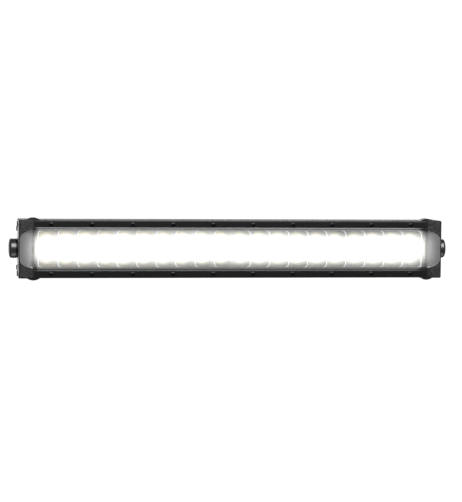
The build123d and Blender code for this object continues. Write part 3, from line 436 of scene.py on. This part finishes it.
# Painted highlight along the outward corners of each mouth, and a faint painted glow on the webs.
painted_rim_highlight = add_node(tree, "ShaderNodeMath", links={0: (edge, 0), 1: (far_side, 0)}, operation="MULTIPLY")
painted_rim_or_web_glow = add_node(tree, "ShaderNodeMath", {1: 0.3}, {0: (painted_rim_highlight, 0)}, operation="MAXIMUM")
painted_web_glow = add_node(tree, "ShaderNodeMix", {6: linear("#000000"), 7: linear("#ffffff")}, {0: (painted_rim_or_web_glow, 0)},
               data_type="RGBA", clamp_factor=False)
painted_reflector_light = add_node(tree, "ShaderNodeMix", {}, {0: (on_web, 0), 6: (painted_bowl_reflection, 0), 7: (painted_web_glow, 2)}, data_type="RGBA")
shader = add_node(tree, "ShaderNodeBsdfPrincipled", {
    "Base Color": linear("#626262"), "Metallic": 1.0, "Roughness": 0.2, "Emission Strength": 0.4},
    {"Emission Color": (painted_reflector_light, 2)})
finish_material(tree, shader)
dress(mirror_plastic, *[f"reflector_{number}" for number in range(1, 6)])


# ---- Lamps ----
# Each lamp is a white ceramic base under a small silicone dome filled with yellow phosphor, and is lit.
lit_phosphor, tree = new_material("lit_phosphor_dome")
shader = add_node(tree, "ShaderNodeBsdfPrincipled", {
    "Base Color": linear("#f2d14a"), "Roughness": 0.15, "Emission Color": linear("#fff9da"),
    "Emission Strength": 1.6})
finish_material(tree, shader)
dress(lit_phosphor, "lamp_domes")


def plain_moulding(name, colour, roughness, grain, depth, **sockets):
    """A moulded or fired surface with a fine even grain, given in metres, that breaks up its shine."""
    made, tree = new_material(name)
    place = add_node(tree, "ShaderNodeTexCoord")
    texture = noise_over(tree, place, 1 / grain)
    rough = add_node(tree, "ShaderNodeMapRange", {3: roughness - 0.05, 4: roughness + 0.07},
                     {0: (texture, "Fac")})
    values = {"Base Color": linear(colour)}
    values.update({key.replace("_", " "): value for key, value in sockets.items()})
    shader = add_node(tree, "ShaderNodeBsdfPrincipled", values, {"Roughness": (rough, 0)})
    bump = add_node(tree, "ShaderNodeBump", {"Strength": 0.3, "Distance": depth},
                    {"Height": (texture, "Fac")})
    finish_material(tree, shader, bump)
    return made


dress(plain_moulding("fired_white_ceramic", "#e9e8e2", 0.5, 0.0006, 0.00003), "lamp_bases")


# ---- Side knobs ----
# Moulded black phenolic. The rim is polished, so the studio shows as clean bands across it. The domed end
# is drawn matt, so that the softbox behind it doesn't whiten its edge.
KNOB_DOME = 0.0024
KNOB_GRAIN = 0.0022
knob_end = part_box("right_knob")[1][0]

phenolic, tree = new_material("polished_phenolic")
place = add_node(tree, "ShaderNodeTexCoord")
apart = add_node(tree, "ShaderNodeSeparateXYZ", links={0: (place, "Object")})
along = add_node(tree, "ShaderNodeMath", links={0: (apart, "X")}, operation="ABSOLUTE")
matt = add_node(tree, "ShaderNodeMapRange", {1: knob_end - KNOB_DOME, 2: knob_end - 0.7 * KNOB_DOME},
                {0: (along, 0)})
texture = noise_over(tree, place, 1 / KNOB_GRAIN)
streak = add_node(tree, "ShaderNodeMapRange", {3: 0.25, 4: 0.37}, {0: (texture, "Fac")})
rough = add_node(tree, "ShaderNodeMapRange", {4: 0.8}, {0: (matt, 0), 3: (streak, 0)})
coat = add_node(tree, "ShaderNodeMapRange", {3: 1.0, 4: 0.0}, {0: (matt, 0)})
shine = add_node(tree, "ShaderNodeMapRange", {3: 1.0, 4: 0.4}, {0: (matt, 0)})
shader = add_node(tree, "ShaderNodeBsdfPrincipled",
                  {"Base Color": linear("#2a2a2d"), "Coat Roughness": 0.18},
                  {"Roughness": (rough, 0), "Coat Weight": (coat, 0), "Specular IOR Level": (shine, 0)})
bump = add_node(tree, "ShaderNodeBump", {"Strength": 0.3, "Distance": 0.00003},
                {"Height": (texture, "Fac")})
finish_material(tree, shader, bump)
dress(phenolic, "left_knob", "right_knob")


# ---- Bezel screws ----
# Steel socket screws with low domed heads, blackened with a hot oxide that keeps the turned metal's shine.
# Each sits in a countersink of the bezel, and its dome carries one glint.
SIDES = 48
SCREW_PITCH = 0.0516
SCREWS_IN_ROW = 10
SCREW_HEAD = 0.0027
SCREW_SHANK = 0.0015
SCREW_SOCKET = 0.0020
SCREW_SOCKET_DEPTH = 0.0011
DOME_RISE = 0.0007
DOME_STEPS = 7
DOME_STEP = 0.07
SOCKET_LIP = 0.75


def plated_steel(name, colour, roughness):
    """Turned steel under a thin finish, with the faint scuffs that a driver and a tumbler leave."""
    made, tree = new_material(name)
    place = add_node(tree, "ShaderNodeTexCoord")
    scuff = noise_over(tree, place, 1400.0, 4.0)
    rough = add_node(tree, "ShaderNodeMapRange", {3: roughness - 0.08, 4: roughness + 0.1},
                     {0: (scuff, "Fac")})
    shader = add_node(tree, "ShaderNodeBsdfPrincipled", {"Base Color": linear(colour), "Metallic": 1.0},
                      {"Roughness": (rough, 0)})
    finish_material(tree, shader)
    return made


def round_ring(along, radius):
    """A circle of a turned piece, as the place along its axis and the radius at each of its sides."""
    return along, [radius] * SIDES


def hex_ring(along, across_flats):
    """A hexagon of the same number of sides."""
    turns = [(side * 360 / SIDES) % 60 - 30 for side in range(SIDES)]
    return along, [across_flats / 2 / math.cos(math.radians(turn)) for turn in turns]


def skin_rings(form, rings, to_place):
    """Join the rings into one closed skin with a point at each end. to_place puts a corner in the frame."""
    loops = []
    for along, radii in rings:
        angles = [2 * math.pi * side / SIDES for side in range(SIDES)]
        loops.append([form.verts.new(to_place(along, radius * math.cos(angle), radius * math.sin(angle)))
                      for angle, radius in zip(angles, radii)])
    for near, far in zip(loops, loops[1:]):
        for side in range(SIDES):
            after = (side + 1) % SIDES
            form.faces.new((near[side], near[after], far[after], far[side]))
    for (along, radii), loop in ((rings[0], loops[0]), (rings[-1], loops[-1])):
        tip = form.verts.new(to_place(along, 0, 0))
        for side in range(SIDES):
            form.faces.new((loop[side], tip, loop[(side + 1) % SIDES]))


def turned_piece(name, form, material):
    """Make the skins into a piece, with normals outward and its edges kept sharp."""
    bmesh.ops.recalc_face_normals(form, faces=form.faces)
    mesh = bpy.data.meshes.new(name)
    form.to_mesh(mesh)
    form.free()
    mesh.polygons.foreach_set("use_smooth", [True] * len(mesh.polygons))
    mesh.set_sharp_from_angle(angle=math.radians(32))
    mesh.materials.append(material)
    piece = bpy.data.objects.new(name, mesh)
    bpy.context.scene.collection.objects.link(piece)
    return piece


screw_steel = plated_steel("black_oxide_screws", "#2b2b2d", 0.26)
for strip in ("upper_bezel_screws", "lower_bezel_screws"):
    low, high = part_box(strip)
    face_y, row_z = low[1], (low[2] + high[2]) / 2
    rings = [
        round_ring(high[1] - face_y, SCREW_SHANK),
        round_ring(SCREW_HEAD - SCREW_SHANK, SCREW_SHANK),
        round_ring(0.0, SCREW_HEAD),
    ]
    for step in range(1, DOME_STEPS + 1):
        across = SCREW_HEAD * (1 - DOME_STEP * step)
        rings.append(round_ring(-DOME_RISE * (1 - (across / SCREW_HEAD) ** 2), across))
    rings.append(hex_ring(-DOME_RISE * SOCKET_LIP, SCREW_SOCKET))
    rings.append(hex_ring(SCREW_SOCKET_DEPTH, SCREW_SOCKET))
    form = bmesh.new()
    for number in range(SCREWS_IN_ROW):
        screw_x = (number - (SCREWS_IN_ROW - 1) / 2) * SCREW_PITCH
        skin_rings(form, rings, lambda along, across, up: (screw_x + across, face_y + along, row_z + up))
    piece = turned_piece(f"{strip}_domed", form, screw_steel)
    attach(piece, "bar")
    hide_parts(strip)


# ---- Pivot bolts ----
# M8 socket-head bolts, blackened. The thread is rolled, 1.25 mm from crest to crest and right-handed
# at both ends of the bar, and shows when a bolt is backed off to take a bracket.
THREAD_PITCH = 0.00125
THREAD_CREST = 0.00398
THREAD_DEPTH = 0.00064
THREAD_STEPS = 10
TIP_CHAMFER = 0.0007
BOLT_HEAD = 0.0065
BOLT_HEAD_EDGE = 0.0005
BOLT_SOCKET = 0.0060
BOLT_SOCKET_DEPTH = 0.0040
SOCKET_CORNER = 0.62

blackened = plated_steel("black_oxide_steel", "#3c3c3e", 0.34)
low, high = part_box("right_pivot_bolt")
tip_x, face_x = low[0], high[0]
head_x = face_x - BOLT_HEAD
thread_rings = []
for step in range(int((head_x - tip_x - TIP_CHAMFER) / THREAD_PITCH * THREAD_STEPS)):
    along = tip_x + TIP_CHAMFER + step * THREAD_PITCH / THREAD_STEPS
    phases = [(along / THREAD_PITCH - side / SIDES) % 1 for side in range(SIDES)]
    thread_rings.append((along, [THREAD_CREST - THREAD_DEPTH * abs(2 * phase - 1) for phase in phases]))
rings = [round_ring(tip_x, THREAD_CREST - THREAD_DEPTH)] + thread_rings + [
    round_ring(head_x, THREAD_CREST - THREAD_DEPTH),
    round_ring(head_x, BOLT_HEAD),
    round_ring(face_x - BOLT_HEAD_EDGE, BOLT_HEAD),
    round_ring(face_x, BOLT_HEAD - BOLT_HEAD_EDGE),
    round_ring(face_x, BOLT_SOCKET * SOCKET_CORNER),
    hex_ring(face_x - BOLT_HEAD_EDGE / 2, BOLT_SOCKET),
    hex_ring(face_x - BOLT_SOCKET_DEPTH, BOLT_SOCKET),
]
for side_name, sign in (("left", -1), ("right", 1)):
    form = bmesh.new()
    skin_rings(form, rings, lambda along, across, up: (sign * along, sign * across, up))
    piece = turned_piece(f"{side_name}_threaded_bolt", form, blackened)
    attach(piece, f"{side_name}_bolt")
    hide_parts(f"{side_name}_pivot_bolt")


# ---- Other screws, washers and inserts ----
# Steel. The outside ones are blackened, and the inside ones are bright zinc.
zinc = plated_steel("bright_zinc_steel", "#b9bbbd", 0.3)
dress(blackened, "left_cap_screws", "right_cap_screws", "left_flat_washer", "right_flat_washer")
dress(zinc, "board_screws", "driver_screws", "left_thread_insert", "right_thread_insert",
      "left_lock_washer", "right_lock_washer")


# ---- Beads at the ends of the lens ----
# A bead of clear silicone along each end of the lens, run over the front of the end gasket to seal it.
# It is smoothed with a finger, so it is low and round, and carries a painted glow of the lens's light.
BEAD_RISE = 0.0006
BEAD_OVER_LENS = 0.0006
BEAD_OVER_GASKET = 0.0020
BEAD_SHORT = 0.0052
BEAD_STEPS = 10

bead_half = lens_high[2] - BEAD_SHORT
clear_silicone, tree = new_material("clear_silicone_bead")
place = add_node(tree, "ShaderNodeTexCoord")
ripple = noise_over(tree, place, 420.0, 2.0)
apart = add_node(tree, "ShaderNodeSeparateXYZ", links={0: (place, "Object")})
up = add_node(tree, "ShaderNodeMath", links={0: (apart, "Z")}, operation="ABSOLUTE")
painted_glow_fade = add_node(tree, "ShaderNodeMapRange", {1: 0.008, 2: 0.023, 3: 0.22, 4: 0.02}, {0: (up, 0)},
                interpolation_type="SMOOTHSTEP")
# Emission on the bead, which is no lamp: painted glow, strongest near the middle and fading towards its
# ends.
shader = add_node(tree, "ShaderNodeBsdfPrincipled", {
    "Base Color": linear("#4c4e4c"), "Roughness": 0.3, "IOR": 1.41, "Emission Color": linear("#fffffb")},
    {"Emission Strength": (painted_glow_fade, 0)})
bump = add_node(tree, "ShaderNodeBump", {"Strength": 0.25, "Distance": 0.0001}, {"Height": (ripple, "Fac")})
finish_material(tree, shader, bump)
for side_name, sign in (("left", -1), ("right", 1)):
    inner_x, outer_x = LENS_HALF - BEAD_OVER_LENS, LENS_HALF + BEAD_OVER_GASKET
    form = bmesh.new()
    ends = []
    for z in (-bead_half, bead_half):
        arc = []
        for step in range(BEAD_STEPS + 1):
            angle = math.pi * step / BEAD_STEPS
            arc.append(form.verts.new((
                sign * ((inner_x + outer_x) / 2 - math.cos(angle) * (outer_x - inner_x) / 2),
                lens_low[1] - BEAD_RISE * math.sin(angle), z)))
        ends.append(arc)
        form.faces.new(arc)
    for step in range(BEAD_STEPS):
        form.faces.new((ends[0][step], ends[0][step + 1], ends[1][step + 1], ends[1][step]))
    form.faces.new((ends[0][-1], ends[0][0], ends[1][0], ends[1][-1]))
    piece = turned_piece(f"{side_name}_lens_bead", form, clear_silicone)
    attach(piece, "bar")


# ---- Cable gland and vent ----
# Glass-filled nylon, moulded black and matt. The vent's membrane is white.
nylon = plain_moulding("glass_filled_nylon", "#161616", 0.55, 0.0007, 0.00005)
dress(nylon, "gland_body", "gland_nut", "gland_locknut", "vent_body", "vent_locknut", "driver_tray")
dress(plain_moulding("vent_membrane", "#dedede", 0.8, 0.0005, 0.00005), "vent_membrane")


# ---- Boards ----
# The lamp boards are aluminium under white solder mask and the driver board is glass epoxy under green.
dress(plain_moulding("white_solder_mask", "#e6e6e2", 0.35, 0.002, 0.00003),
      "left_lamp_board", "right_lamp_board")
dress(plain_moulding("green_solder_mask", "#0f5a34", 0.32, 0.002, 0.00003), "driver_board")
dress(plain_moulding("filled_silicone_pad", "#8d9096", 0.8, 0.0008, 0.00004),
      "left_thermal_pad", "right_thermal_pad", "driver_pad")
dress(plain_moulding("ferrite", "#3a3a3c", 0.7, 0.0006, 0.00005), "driver_coils")
dress(plated_steel("drawn_aluminium_can", "#c9cacc", 0.28), "driver_capacitors")
dress(plain_moulding("moulded_epoxy", "#17171a", 0.6, 0.0005, 0.00004), "driver_chips")
dress(plain_moulding("green_polyamide", "#1f7d4b", 0.4, 0.001, 0.00003), "driver_terminal")
dress(plain_moulding("natural_nylon", "#d8d4c4", 0.45, 0.001, 0.00003), "driver_header", "board_links")
dress(plain_moulding("red_lead_silicone", "#b3201f", 0.5, 0.001, 0.00003), "positive_lead")
dress(plain_moulding("black_lead_silicone", "#121212", 0.5, 0.001, 0.00003), "negative_lead")
